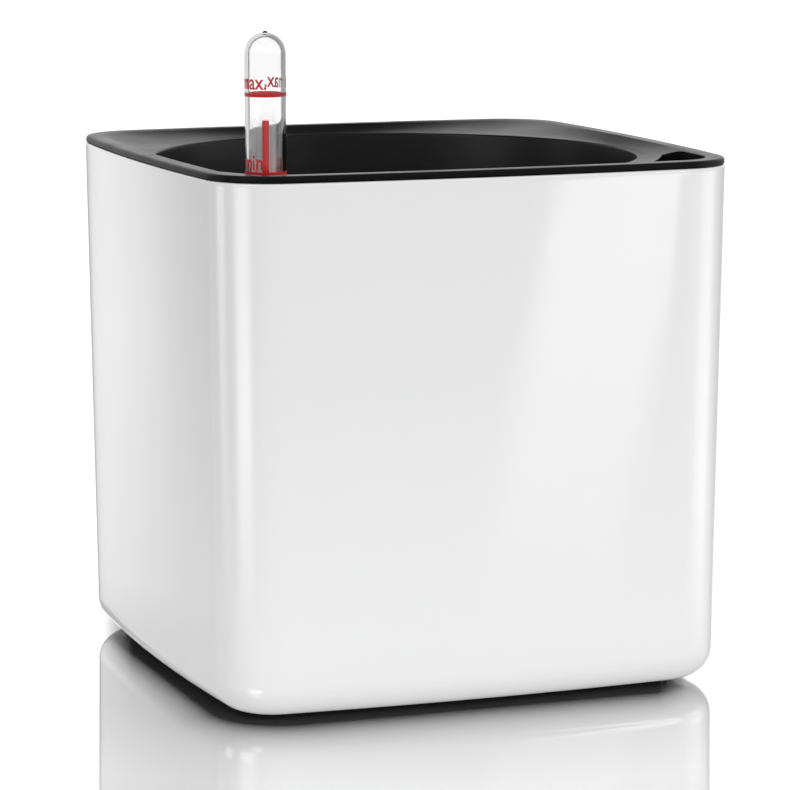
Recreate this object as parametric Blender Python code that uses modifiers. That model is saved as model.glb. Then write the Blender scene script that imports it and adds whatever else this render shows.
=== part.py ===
"""Self-watering cube planter: a glossy outer casing on four soft pads, a lift-out liner with a round
planting bowl and a corner water shaft, two wicks and a float-type water level indicator.

Metres, +Z up, front towards -Y. The origin is on the table, under the middle of the planter.
"""

import math

import bmesh
import bpy
from mathutils import Vector

MM = 0.001
GAP = 0.3 * MM  # left between pieces that touch on the real object

# Plan outline at the rim: four gently bowed sides joined by round corners.
HALF_WIDTH = 70.0 * MM
SIDE_BOW = 3.4 * MM  # how far a side's arc falls back over half its width
CORNER_RADIUS = 17.1 * MM
SIDE_STEPS = 8
CORNER_STEPS = 6

# Heights above the table.
FOOT_HEIGHT = 1.2 * MM
BODY_HEIGHT = 132.9 * MM  # casing underside to rim top
RIM_TOP = FOOT_HEIGHT + BODY_HEIGHT
BAND_HEIGHT = 1.8 * MM  # visible edge of the liner's flange
CASING_TOP = RIM_TOP - BAND_HEIGHT
BOWL_FLOOR = 36.0 * MM

# Outer casing.
DRAFT = 0.0152  # inward lean of the walls, as a slope
CASING_WALL = 2.5 * MM
BASE_FILLET = 7.65 * MM
CASING_EDGE = 0.5 * MM
CASING_FLOOR = FOOT_HEIGHT + CASING_WALL
BASE_WELL_RADIUS = 38.0 * MM
BASE_WELL_DEPTH = 0.6 * MM

# Foot pads, each let into a shallow pocket under the casing.
PAD_RADIUS = 5.0 * MM
PAD_POCKET = 0.9 * MM
PAD_OFFSET = 50.0 * MM

# Liner: a thin-walled moulding hung from the casing's edge by its flange.
LINER_WALL = 1.5 * MM
FLANGE_INSET = 0.2 * MM
FLANGE_EDGE = 0.8 * MM  # rounding of the flange's upper edge
LAND_INSET = 4.2 * MM  # inner edge of the flat land
LIP_RADIUS = 63.0 * MM
LIP_DROP = 2.4 * MM  # bowl lip below the rim top
BOWL_BOTTOM_RADIUS = 56.5 * MM
BOWL_FILLET = 11.0 * MM
SKIRT_INSET = 4.0 * MM
SKIRT_WALL = 1.8 * MM
SKIRT_DEPTH = 8.0 * MM

# Water fill shaft in the front right corner.
FILL_ARC_RADIUS = 69.0 * MM
FILL_INSET = 5.0 * MM
FILL_HALF_SPREAD = math.radians(16.7)
FILL_CORNER_TURN = math.radians(3.6)  # polar angle over which an end's outer corner is rounded
FILL_SHAFT_WALL = 1.4 * MM
FILL_SHAFT_DEPTH = 32.0 * MM

# Holes in the bowl's floor.
WICK_RADIUS = 3.0 * MM
WICK_HOLE_RADIUS = 4.0 * MM
WICK_OFFSET = 20.0 * MM
DRAIN_RADIUS = 2.0 * MM
DRAIN_CIRCLE = 38.0 * MM
DRAIN_COUNT = 6

# Water level indicator in the front left corner.
INDICATOR_OFFSET = 52.8 * MM
TUBE_RADIUS = 5.0 * MM
TUBE_WALL = 0.9 * MM
TUBE_ABOVE_RIM = 33.2 * MM
SOCKET_BORE = 5.4 * MM
SOCKET_RADIUS = 6.9 * MM
SOCKET_DEPTH = 26.0 * MM
SHOULDER_DROP = 10.0 * MM  # tube's shoulder below the rim top
SPIGOT_RADIUS = 3.95 * MM
SPIGOT_LENGTH = 6.0 * MM
GUIDE_THICKNESS = 2.0 * MM
CHAMBER_RADIUS = 3.6 * MM  # inside of the housing round the float
WINDOW_WIDTH = 3.0 * MM
WINDOW_HEIGHT = 18.0 * MM
CAP_FLANGE = 1.7 * MM
CAP_PLUG = 3.4 * MM
FLOAT_RADIUS = 3.3 * MM
FLOAT_LENGTH = 34.0 * MM
ROD_RADIUS = 0.85 * MM
ROD_HOLE = 1.15 * MM
ROD_SEAT = 10.0 * MM  # depth of the rod's hole in the float
ROD_ABOVE_RIM = 12.1 * MM
FLOAT_RISE = 12.4 * MM  # rest height of the float above its lowest place

QUARTER = math.pi / 2


def new_collection(name):
    collection = bpy.data.collections.new(name)
    bpy.context.scene.collection.children.link(collection)
    return collection


def clear_scene():
    for obj in list(bpy.data.objects):
        bpy.data.objects.remove(obj, do_unlink=True)


def plastic(name, colour, roughness, transmission=0.0):
    material = bpy.data.materials.new(name)
    material.use_nodes = True
    shader = material.node_tree.nodes["Principled BSDF"]
    shader.inputs["Base Color"].default_value = (*colour, 1.0)
    shader.inputs["Roughness"].default_value = roughness
    shader.inputs["Metallic"].default_value = 0.0
    shader.inputs["Transmission Weight"].default_value = transmission
    return material


# ---------------------------------------------------------------- outline of the planter

SIDE_RADIUS = (HALF_WIDTH**2 + SIDE_BOW**2) / (2 * SIDE_BOW)
SIDE_CENTRE = HALF_WIDTH - SIDE_RADIUS
CORNER_CENTRE = (SIDE_CENTRE + math.sqrt(2 * (SIDE_RADIUS - CORNER_RADIUS) ** 2 - SIDE_CENTRE**2)) / 2
JOINT_ANGLE = math.atan2(CORNER_CENTRE, CORNER_CENTRE - SIDE_CENTRE)


def joint_direction(inset):
    """Polar angle of the point where a side arc meets a corner arc."""
    reach = SIDE_RADIUS - inset
    return math.atan2(reach * math.sin(JOINT_ANGLE), SIDE_CENTRE + reach * math.cos(JOINT_ANGLE))


def outline(inset):
    """A function from polar angle to radius, for the rim outline moved inwards by inset."""

    def radius_at(angle):
        folded = abs((angle + QUARTER / 2) % QUARTER - QUARTER / 2)
        if folded < joint_direction(inset):
            centre, radius = Vector((SIDE_CENTRE, 0.0)), SIDE_RADIUS - inset
        else:
            centre, radius = Vector((CORNER_CENTRE, CORNER_CENTRE)), CORNER_RADIUS - inset
        along = centre.dot(Vector((math.cos(folded), math.sin(folded))))
        return along + math.sqrt(radius**2 - centre.length_squared + along**2)

    return radius_at


def circle(radius):
    return lambda angle: radius


def between(first, second, share):
    return lambda angle: first(angle) * (1 - share) + second(angle) * share


def ray_angles():
    """Polar angles of the loft's rays, closer together round the corners."""
    side = joint_direction(0.0)
    angles = []
    for quarter in range(4):
        start = quarter * QUARTER - side
        angles += [start + 2 * side * step / SIDE_STEPS for step in range(SIDE_STEPS)]
        corner = QUARTER - 2 * side
        angles += [start + 2 * side + corner * step / CORNER_STEPS for step in range(CORNER_STEPS)]
    return angles


RAYS = ray_angles()


def arc(centre, radius, start, end, steps):
    """Points (across, up) on an arc, both ends included, with angles in degrees."""
    turns = [math.radians(start + (end - start) * step / steps) for step in range(steps + 1)]
    return [(centre[0] + radius * math.cos(turn), centre[1] + radius * math.sin(turn)) for turn in turns]


# ---------------------------------------------------------------- shape helpers


def add_object(name, mesh, collection, material=None):
    obj = bpy.data.objects.new(name, mesh)
    collection.objects.link(obj)
    if material:
        mesh.materials.append(material)
    else:
        obj.hide_render = True
        obj.display_type = "WIRE"
    return obj


def mesh_from(name, bm):
    bmesh.ops.recalc_face_normals(bm, faces=bm.faces)
    mesh = bpy.data.meshes.new(name)
    bm.to_mesh(mesh)
    bm.free()
    mesh.shade_smooth()
    mesh.set_sharp_from_angle(angle=math.radians(35))
    return mesh


def loft(name, sections):
    """A closed mesh through sections (radius function, z), each capped end flat."""
    bm = bmesh.new()
    rings = []
    for radius_at, z in sections:
        points = [(radius_at(a) * math.cos(a), radius_at(a) * math.sin(a), z) for a in RAYS]
        rings.append([bm.verts.new(point) for point in points])
    for lower, upper in zip(rings, rings[1:]):
        for i, vert in enumerate(lower):
            after = (i + 1) % len(RAYS)
            bm.faces.new((vert, lower[after], upper[after], upper[i]))
    bm.faces.new(rings[0])
    bm.faces.new(rings[-1])
    return mesh_from(name, bm)


def prism(name, outline_points, low, high, collection):
    """A flat outline given thickness: a filled 2D curve, extruded, then made a mesh."""
    curve = bpy.data.curves.new(name, "CURVE")
    curve.dimensions = "2D"
    curve.fill_mode = "BOTH"
    curve.extrude = (high - low) / 2
    spline = curve.splines.new("POLY")
    spline.points.add(len(outline_points) - 1)
    for point, (x, y) in zip(spline.points, outline_points):
        point.co = (x, y, 0.0, 1.0)
    spline.use_cyclic_u = True
    guide = bpy.data.objects.new(name, curve)
    collection.objects.link(guide)
    guide.location.z = (high + low) / 2
    bpy.context.view_layer.update()
    evaluated = guide.evaluated_get(bpy.context.evaluated_depsgraph_get())
    bm = bmesh.new()
    bm.from_mesh(bpy.data.meshes.new_from_object(evaluated))
    bmesh.ops.remove_doubles(bm, verts=bm.verts, dist=0.01 * MM)
    made = add_object(name, mesh_from(name, bm), collection)
    made.matrix_world = guide.matrix_world
    bpy.data.objects.remove(guide, do_unlink=True)
    made.name = name
    return made


def rod_mesh(name, radius, low, high, sides):
    bm = bmesh.new()
    bmesh.ops.create_cone(
        bm, cap_ends=True, segments=sides, radius1=radius, radius2=radius, depth=high - low
    )
    bmesh.ops.translate(bm, verts=bm.verts, vec=(0, 0, (high + low) / 2))
    return mesh_from(name, bm)


def turned(name, profile, sides, collection, material, closed=False):
    """A profile (radius, z) spun about Z. It runs down the outer side, from top to bottom."""
    mesh = bpy.data.meshes.new(name)
    count = len(profile)
    edges = [(i, (i + 1) % count) for i in range(count if closed else count - 1)]
    mesh.from_pydata([(radius, 0.0, z) for radius, z in profile], edges, [])
    obj = add_object(name, mesh, collection, material)
    screw = obj.modifiers.new("Spin", "SCREW")
    screw.axis = "Z"
    screw.steps = screw.render_steps = sides
    screw.use_merge_vertices = True
    screw.merge_threshold = 0.00001
    screw.use_smooth_shade = True
    return obj


def combine(target, other, operation):
    modifier = target.modifiers.new(f"{operation.title()} {other.name}", "BOOLEAN")
    modifier.operation = operation
    modifier.solver = "EXACT"
    modifier.object = other


# ---------------------------------------------------------------- outer casing and pads


def pad_places():
    sides = {"front": -1, "back": 1}
    hands = {"left": -1, "right": 1}
    return {
        f"{side}_{hand}": (x * PAD_OFFSET, y * PAD_OFFSET, 0.0)
        for side, y in sides.items()
        for hand, x in hands.items()
    }


def casing_sections():
    """Up the outside from the underside, over the edge and down the inside to the floor."""
    fillet_top = FOOT_HEIGHT + BASE_FILLET
    side = DRAFT * (RIM_TOP - fillet_top)
    outer = arc((side + BASE_FILLET, fillet_top), BASE_FILLET, 270, 180, 5)
    lean = DRAFT * BAND_HEIGHT
    edge = arc((lean + CASING_EDGE, CASING_TOP - CASING_EDGE), CASING_EDGE, 180, 90, 2)
    inner_fillet = BASE_FILLET - CASING_WALL
    inside = [(CASING_WALL + lean, CASING_TOP)]
    inside += arc((side + BASE_FILLET, fillet_top), inner_fillet, 180, 270, 4)
    return [(outline(inset), z) for inset, z in outer + edge + inside]


def make_casing(parts, cutters):
    gloss = plastic("gloss_white_plastic", (0.82, 0.82, 0.82), 0.08)
    casing = add_object("outer_casing", loft("outer_casing", casing_sections()), parts, gloss)
    well = rod_mesh("base_well", BASE_WELL_RADIUS, 0.0, FOOT_HEIGHT + BASE_WELL_DEPTH, 48)
    combine(casing, add_object("base_well", well, cutters), "DIFFERENCE")
    pocket = rod_mesh("pad_pocket", PAD_RADIUS + GAP, 0.0, FOOT_HEIGHT + PAD_POCKET, 24)
    for corner, place in pad_places().items():
        cutter = add_object(f"pad_pocket_{corner}", pocket, cutters)
        cutter.location = place
        combine(casing, cutter, "DIFFERENCE")
    return casing


def make_pads(parts):
    soft = plastic("foot_pad_rubber", (0.7, 0.7, 0.7), 0.5)
    top = FOOT_HEIGHT + PAD_POCKET - GAP
    round_edge = arc((PAD_RADIUS - 0.3 * MM, 0.3 * MM), 0.3 * MM, 0, -90, 2)
    profile = [(0.0, top), (PAD_RADIUS, top)] + round_edge + [(0.0, 0.0)]
    for corner, place in pad_places().items():
        pad = turned(f"foot_pad_{corner}", profile, 24, parts, soft)
        pad.location = place


# ---------------------------------------------------------------- liner


def bowl_sections(thickness, steps):
    """Sections of the bowl from its wall's top to its floor, moved outwards by thickness."""
    slope = (LIP_RADIUS - BOWL_BOTTOM_RADIUS) / (RIM_TOP - LIP_DROP - BOWL_FLOOR)
    turn_height = BOWL_FLOOR + BOWL_FILLET
    turn_radius = BOWL_BOTTOM_RADIUS + slope * BOWL_FILLET - BOWL_FILLET
    corner = arc((turn_radius, turn_height), BOWL_FILLET + thickness, 0, -90, steps)
    return [(circle(radius), z) for radius, z in corner]


def liner_block_sections():
    """Outside of the liner, from under the bowl to the rim, filled solid to the rim top."""
    under = list(reversed(bowl_sections(LINER_WALL, 4)))
    lip = (circle(LIP_RADIUS + LINER_WALL), RIM_TOP - LIP_DROP - 1.2 * LINER_WALL)
    flange_under = RIM_TOP - BAND_HEIGHT + GAP
    shoulder = (outline(LAND_INSET - LINER_WALL), flange_under)
    middle = (between(lip[0], shoulder[0], 0.5), RIM_TOP - LIP_DROP * 0.75 - LINER_WALL)
    edge_low = (outline(FLANGE_INSET), flange_under)
    rounding = arc((FLANGE_INSET + FLANGE_EDGE, RIM_TOP - FLANGE_EDGE), FLANGE_EDGE, 180, 90, 3)
    return under + [lip, middle, shoulder, edge_low] + [(outline(inset), z) for inset, z in rounding]


def liner_hollow_sections():
    """The air inside the liner: over the dished flange, then down into the bowl."""
    land, lip = outline(LAND_INSET), circle(LIP_RADIUS)
    sections = [(land, RIM_TOP + 5 * MM)]
    steps = 4
    for step in range(steps + 1):
        share = step / steps
        fall = 1 - (1 - share) ** 2
        sections.append((between(land, lip, share), RIM_TOP - LIP_DROP * fall))
    sections.append((circle(LIP_RADIUS - 0.5 * MM), RIM_TOP - LIP_DROP - 0.4 * MM))
    return sections + bowl_sections(0.0, 4)


def fill_cell(wall):
    """Plan of the fill opening moved outwards by wall: an arc round the bowl and one along the rim."""
    middle = -QUARTER / 2
    inner, rim = FILL_ARC_RADIUS - wall, outline(FILL_INSET - wall)
    spread = FILL_HALF_SPREAD + wall / FILL_ARC_RADIUS
    reach = spread - FILL_CORNER_TURN

    def at(radius, turn):
        return Vector((radius * math.cos(middle + turn), radius * math.sin(middle + turn)))

    def on_rim(turn):
        return at(rim(middle + turn), turn)

    def rounded(start, corner, end):
        shares = [step / 4 for step in range(1, 4)]
        return [start.lerp(corner, t).lerp(corner.lerp(end, t), t) for t in shares]

    steps = [2 * step / 12 - 1 for step in range(13)]
    near = [at(inner, spread * step) for step in steps]
    far = [on_rim(-reach * step) for step in steps]
    right_end = rounded(near[-1], on_rim(spread), far[0])
    left_end = rounded(far[-1], on_rim(-spread), near[0])
    return [tuple(point) for point in near + right_end + far + left_end]


def ring_between(name, outer, inner, low, high, collection):
    """A square-section band between two outlines."""
    ring = add_object(name, loft(name, [(outer, low), (outer, high)]), collection)
    hole = add_object(f"{name}_hole", loft(name, [(inner, low - MM), (inner, high + MM)]), collection)
    combine(ring, hole, "DIFFERENCE")
    return ring


def make_liner(parts, cutters):
    satin = plastic("satin_black_plastic", (0.012, 0.012, 0.013), 0.3)
    liner = add_object("liner", loft("liner", liner_block_sections()), parts, satin)

    buried = RIM_TOP - 0.8 * MM  # the added walls end inside the flange before it is hollowed
    skirt = ring_between(
        "liner_skirt",
        outline(SKIRT_INSET),
        outline(SKIRT_INSET + SKIRT_WALL),
        RIM_TOP - SKIRT_DEPTH,
        buried,
        cutters,
    )
    combine(liner, skirt, "UNION")
    shaft_plan = fill_cell(FILL_SHAFT_WALL)
    shaft = prism("fill_shaft", shaft_plan, RIM_TOP - FILL_SHAFT_DEPTH, buried, cutters)
    combine(liner, shaft, "UNION")
    socket = rod_mesh("indicator_socket", SOCKET_RADIUS, RIM_TOP - SOCKET_DEPTH, buried, 32)
    boss = add_object("indicator_socket", socket, cutters)
    boss.location = (-INDICATOR_OFFSET, -INDICATOR_OFFSET, 0.0)
    combine(liner, boss, "UNION")

    hollow = add_object("liner_hollow", loft("liner_hollow", liner_hollow_sections()), cutters)
    combine(liner, hollow, "DIFFERENCE")
    opening_plan = fill_cell(0.0)
    below, above = RIM_TOP - FILL_SHAFT_DEPTH - 5 * MM, RIM_TOP + 5 * MM
    combine(liner, prism("fill_opening", opening_plan, below, above, cutters), "DIFFERENCE")
    bore = add_object("indicator_bore", rod_mesh("indicator_bore", SOCKET_BORE, below, above, 32), cutters)
    bore.location = boss.location
    combine(liner, bore, "DIFFERENCE")

    through = (BOWL_FLOOR - 5 * MM, BOWL_FLOOR + 5 * MM)
    wick_hole = rod_mesh("wick_hole", WICK_HOLE_RADIUS, *through, 20)
    for hand, x in (("left", -WICK_OFFSET), ("right", WICK_OFFSET)):
        cutter = add_object(f"wick_hole_{hand}", wick_hole, cutters)
        cutter.location.x = x
        combine(liner, cutter, "DIFFERENCE")
    drain = rod_mesh("drain_hole", DRAIN_RADIUS, *through, 12)
    for index in range(DRAIN_COUNT):
        turn = math.tau * (index + 0.5) / DRAIN_COUNT
        cutter = add_object(f"drain_hole_{index + 1}", drain, cutters)
        cutter.location = (DRAIN_CIRCLE * math.cos(turn), DRAIN_CIRCLE * math.sin(turn), 0.0)
        combine(liner, cutter, "DIFFERENCE")
    return liner


# ---------------------------------------------------------------- wicks


def make_wick(hand, side, liner, parts):
    """A cord that lies on the bowl's floor, drops through its hole and rests in the reservoir."""
    bend = 4.0 * MM
    lying_top = BOWL_FLOOR + WICK_RADIUS + GAP
    lying_low = CASING_FLOOR + WICK_RADIUS + GAP
    x = WICK_OFFSET
    path = [(x + 21 * MM, lying_top)]
    path += arc((x + bend, lying_top - bend), bend, 90, 180, 4)
    path += arc((x + bend, lying_low + bend), bend, 180, 270, 4)
    path += [(x + 15 * MM, lying_low)]
    curve = bpy.data.curves.new(f"wick_{hand}", "CURVE")
    curve.dimensions = "3D"
    curve.bevel_depth = WICK_RADIUS
    curve.bevel_resolution = 2
    curve.use_fill_caps = True
    spline = curve.splines.new("POLY")
    spline.points.add(len(path) - 1)
    for point, (across, z) in zip(spline.points, path):
        point.co = (side * across, 0.0, z, 1.0)
    curve.materials.append(plastic(f"wick_{hand}_fibre", (0.75, 0.73, 0.68), 0.9))
    wick = bpy.data.objects.new(f"wick_{hand}", curve)
    parts.objects.link(wick)
    wick.parent = liner
    return wick


# ---------------------------------------------------------------- water level indicator


def make_tube(parts):
    """Clear tube with a domed top, a moulding nub and a spigot that plugs into the housing."""
    top = RIM_TOP + TUBE_ABOVE_RIM
    shoulder = RIM_TOP - SHOULDER_DROP
    spigot_end = shoulder - SPIGOT_LENGTH
    bore = TUBE_RADIUS - TUBE_WALL
    spigot_bore = SPIGOT_RADIUS - TUBE_WALL
    nub = [(0.0, top + 0.35 * MM), (0.5 * MM, top + 0.3 * MM)]
    profile = nub + arc((0.0, top - TUBE_RADIUS), TUBE_RADIUS, 80, 0, 7)
    profile += [(TUBE_RADIUS, shoulder), (SPIGOT_RADIUS, shoulder)]
    profile += [(SPIGOT_RADIUS, spigot_end), (spigot_bore, spigot_end)]
    profile += [(spigot_bore, shoulder + 0.5 * MM), (bore, shoulder + 1.5 * MM)]
    profile += arc((0.0, top - TUBE_RADIUS), bore, 0, 90, 7)
    clear = plastic("clear_plastic", (0.95, 0.97, 0.97), 0.03, transmission=1.0)
    return turned("indicator_tube", profile, 32, parts, clear)


def make_housing(parts, cutters):
    """Black guide tube round the float, open to the water through eight windows."""
    top = RIM_TOP - SHOULDER_DROP - GAP
    ledge = RIM_TOP - SHOULDER_DROP - SPIGOT_LENGTH - GUIDE_THICKNESS - 2 * GAP
    low = CASING_FLOOR + GAP + CAP_FLANGE + GAP
    wide = SPIGOT_RADIUS + GAP
    profile = [(TUBE_RADIUS, top), (TUBE_RADIUS, low), (CHAMBER_RADIUS, low)]
    profile += [(CHAMBER_RADIUS, ledge), (wide, ledge), (wide, top)]
    dark = plastic("housing_black_plastic", (0.02, 0.02, 0.02), 0.4)
    housing = turned("indicator_housing", profile, 32, parts, dark, closed=True)
    for row, base in enumerate((13 * MM, 37 * MM)):
        for turn, axis in enumerate("xy"):
            name = f"housing_window_{row + 1}{axis}"
            bm = bmesh.new()
            bmesh.ops.create_cube(bm, size=1.0)
            across = (4 * TUBE_RADIUS, WINDOW_WIDTH) if turn == 0 else (WINDOW_WIDTH, 4 * TUBE_RADIUS)
            bmesh.ops.scale(bm, vec=(*across, WINDOW_HEIGHT), verts=bm.verts)
            window = add_object(name, mesh_from(name, bm), cutters)
            window.location = (0.0, 0.0, base + WINDOW_HEIGHT / 2)
            window.parent = housing
            combine(housing, window, "DIFFERENCE")
    return housing


def make_rod_guide(parts):
    """Small bush that keeps the rod upright, clamped between the spigot and the housing's ledge."""
    top = RIM_TOP - SHOULDER_DROP - SPIGOT_LENGTH - GAP
    low = top - GUIDE_THICKNESS
    profile = [(SPIGOT_RADIUS, top), (SPIGOT_RADIUS, low), (ROD_HOLE, low), (ROD_HOLE, top)]
    bush = plastic("guide_plastic", (0.6, 0.6, 0.58), 0.4)
    return turned("rod_guide", profile, 24, parts, bush, closed=True)


def make_end_cap(parts):
    """Plug under the housing, with a water hole through it."""
    low = CASING_FLOOR + GAP
    flange_top = low + CAP_FLANGE
    plug_top = flange_top + CAP_PLUG
    hole = 1.2 * MM
    chamfer = 0.5 * MM
    profile = [(FLOAT_RADIUS, plug_top), (FLOAT_RADIUS, flange_top), (TUBE_RADIUS, flange_top)]
    profile += [(TUBE_RADIUS, low + chamfer), (TUBE_RADIUS - chamfer, low), (hole, low), (hole, plug_top)]
    dark = plastic("cap_black_plastic", (0.02, 0.02, 0.02), 0.4)
    return turned("indicator_end_cap", profile, 24, parts, dark, closed=True)


def float_bottom():
    return CASING_FLOOR + GAP + CAP_FLANGE + CAP_PLUG + GAP + FLOAT_RISE


def make_float(parts):
    """Light body with a blind hole in its top for the rod."""
    low = float_bottom()
    top = low + FLOAT_LENGTH
    edge = 0.6 * MM
    seat = top - ROD_SEAT
    profile = [(ROD_HOLE, top), (FLOAT_RADIUS - edge, top), (FLOAT_RADIUS, top - edge)]
    profile += [(FLOAT_RADIUS, low + edge), (FLOAT_RADIUS - edge, low), (0.0, low)]
    profile = [(0.0, seat), (ROD_HOLE, seat)] + profile
    foam = plastic("float_foam", (0.85, 0.85, 0.83), 0.7)
    return turned("float_body", profile, 24, parts, foam)


def make_rod(parts):
    """Red pointer rod pressed into the float, with a small stop collar."""
    seat = float_bottom() + FLOAT_LENGTH
    low = seat - ROD_SEAT + GAP
    top = RIM_TOP + ROD_ABOVE_RIM
    tip = 0.25 * MM
    collar = 1.7 * MM
    profile = [(0.0, top), (ROD_RADIUS - tip, top), (ROD_RADIUS, top - tip)]
    profile += [(ROD_RADIUS, seat + 1.5 * MM), (collar, seat + 1.2 * MM), (collar, seat + GAP)]
    profile += [(ROD_RADIUS, seat + GAP), (ROD_RADIUS, low), (0.0, low)]
    red = plastic("signal_red_plastic", (0.62, 0.01, 0.012), 0.35)
    return turned("float_rod", profile, 16, parts, red)


def make_indicator(liner, parts, cutters):
    axis = bpy.data.objects.new("indicator_axis", None)
    parts.objects.link(axis)
    axis.location = (-INDICATOR_OFFSET, -INDICATOR_OFFSET, 0.0)
    axis.parent = liner
    fixed = [make_tube(parts), make_housing(parts, cutters), make_rod_guide(parts), make_end_cap(parts)]
    float_body, rod = make_float(parts), make_rod(parts)
    for piece in fixed + [float_body]:
        piece.parent = axis
    rod.parent = float_body


def main():
    clear_scene()
    parts = new_collection("self_watering_planter")
    cutters = new_collection("cutters")
    make_casing(parts, cutters)
    make_pads(parts)
    liner = make_liner(parts, cutters)
    make_wick("left", -1, liner, parts)
    make_wick("right", 1, liner, parts)
    make_indicator(liner, parts, cutters)


main()
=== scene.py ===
"""Looks of the self-watering cube planter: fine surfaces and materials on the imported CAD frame."""

import math

import bmesh
import bpy
from mathutils import Euler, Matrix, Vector


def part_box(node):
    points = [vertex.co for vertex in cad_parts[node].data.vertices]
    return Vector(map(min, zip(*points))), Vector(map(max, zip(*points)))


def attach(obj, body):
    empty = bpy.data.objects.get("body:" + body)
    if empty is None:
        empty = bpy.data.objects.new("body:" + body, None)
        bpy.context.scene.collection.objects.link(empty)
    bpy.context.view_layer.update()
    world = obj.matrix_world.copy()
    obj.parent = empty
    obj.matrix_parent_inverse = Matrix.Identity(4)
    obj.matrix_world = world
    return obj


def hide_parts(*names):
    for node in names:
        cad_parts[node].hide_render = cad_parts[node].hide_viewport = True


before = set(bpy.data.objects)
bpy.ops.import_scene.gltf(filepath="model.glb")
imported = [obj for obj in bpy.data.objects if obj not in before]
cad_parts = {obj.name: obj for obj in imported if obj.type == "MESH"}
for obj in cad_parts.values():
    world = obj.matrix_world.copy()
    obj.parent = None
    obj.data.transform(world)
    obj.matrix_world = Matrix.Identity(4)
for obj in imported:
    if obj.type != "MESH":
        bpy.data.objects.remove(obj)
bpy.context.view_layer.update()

MM = 0.001
QUARTER = math.pi / 2

# ---------------------------------------------------------------- sizes, from the frame and the design

CASING_LOW, CASING_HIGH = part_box("outer_casing")
LINER_LOW, LINER_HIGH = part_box("liner")
TUBE_LOW, TUBE_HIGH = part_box("indicator_tube")
HOUSING_LOW, HOUSING_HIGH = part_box("indicator_housing")
CAP_LOW, CAP_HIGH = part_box("indicator_end_cap")
GUIDE_LOW, GUIDE_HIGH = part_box("rod_guide")
FLOAT_LOW, FLOAT_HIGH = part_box("float_body")
ROD_LOW, ROD_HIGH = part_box("float_rod")
PAD_NODES = [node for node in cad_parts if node.startswith("foot_pad")]

GAP = 0.3 * MM
RIM_TOP = LINER_HIGH.z
CASING_TOP = CASING_HIGH.z
UNDERSIDE = CASING_LOW.z
BAND_HEIGHT = RIM_TOP - CASING_TOP
INDICATOR_AXIS = (TUBE_LOW + TUBE_HIGH) / 2
DRAFT = 0.0152
HALF_WIDTH = CASING_HIGH.x + DRAFT * BAND_HEIGHT
SIDE_BOW = 3.4 * MM
CORNER_RADIUS = 17.1 * MM
CASING_WALL = 2.5 * MM
BASE_FILLET = 7.65 * MM
CASING_EDGE = 0.5 * MM
BASE_WELL_RADIUS = 38.0 * MM
BASE_WELL_DEPTH = 0.6 * MM
PAD_POCKET = 0.9 * MM

LINER_WALL = 1.5 * MM
FLANGE_INSET = 0.2 * MM
FLANGE_EDGE = 0.8 * MM
LAND_INSET = 4.2 * MM
LIP_RADIUS = 63.0 * MM
LIP_DROP = 2.4 * MM
LIP_EDGE = 0.6 * MM
BOWL_FLOOR = LINER_LOW.z + LINER_WALL
BOWL_BOTTOM_RADIUS = 56.5 * MM
BOWL_FILLET = 11.0 * MM
SKIRT_INSET = 4.0 * MM
SKIRT_WALL = 1.8 * MM
SKIRT_DEPTH = 8.0 * MM
FILL_ARC_RADIUS = 69.0 * MM
FILL_INSET = 5.0 * MM
FILL_HALF_SPREAD = math.radians(16.7)
FILL_CORNER_TURN = math.radians(3.6)
FILL_SHAFT_WALL = 1.4 * MM
FILL_SHAFT_DEPTH = 32.0 * MM
WICK_HOLE_RADIUS = 4.0 * MM
WICK_OFFSET = 20.0 * MM
DRAIN_RADIUS = 2.0 * MM
DRAIN_CIRCLE = 38.0 * MM
DRAIN_COUNT = 6
SOCKET_BORE = 5.4 * MM
SOCKET_RADIUS = 6.9 * MM
SOCKET_DEPTH = 26.0 * MM

TUBE_RADIUS = (TUBE_HIGH.x - TUBE_LOW.x) / 2
TUBE_WALL = 0.9 * MM
TUBE_TOP = TUBE_HIGH.z - 0.35 * MM
SHOULDER = RIM_TOP - 10.0 * MM
SPIGOT_RADIUS = (GUIDE_HIGH.x - GUIDE_LOW.x) / 2

# Level marks printed on the tube, as heights above the rim.
RING_HEIGHT = 0.85 * MM
MAX_RING, MAX_WORD = 18.4 * MM, 19.85 * MM
MIN_RING, MIN_WORD = -0.4 * MM, 0.65 * MM
LETTER_SIZE, LETTER_WEIGHT, LETTER_WIDTH = 5.1 * MM, 0.06 * MM, 0.8
LETTER_OVERHANG = 0.4 * MM
PRINT_THICKNESS = 0.05 * MM

# How finely round things are drawn.
SIDE_STEPS = 28
CORNER_STEPS = 16
TURNED_STEPS = 64


# ---------------------------------------------------------------- outline of the planter

SIDE_RADIUS = (HALF_WIDTH**2 + SIDE_BOW**2) / (2 * SIDE_BOW)
SIDE_CENTRE = HALF_WIDTH - SIDE_RADIUS
CORNER_CENTRE = (SIDE_CENTRE + math.sqrt(2 * (SIDE_RADIUS - CORNER_RADIUS) ** 2 - SIDE_CENTRE**2)) / 2
JOINT_ANGLE = math.atan2(CORNER_CENTRE, CORNER_CENTRE - SIDE_CENTRE)


def joint_direction(inset):
    """Polar angle of the point where a side arc meets a corner arc."""
    reach = SIDE_RADIUS - inset
    return math.atan2(reach * math.sin(JOINT_ANGLE), SIDE_CENTRE + reach * math.cos(JOINT_ANGLE))


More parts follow.
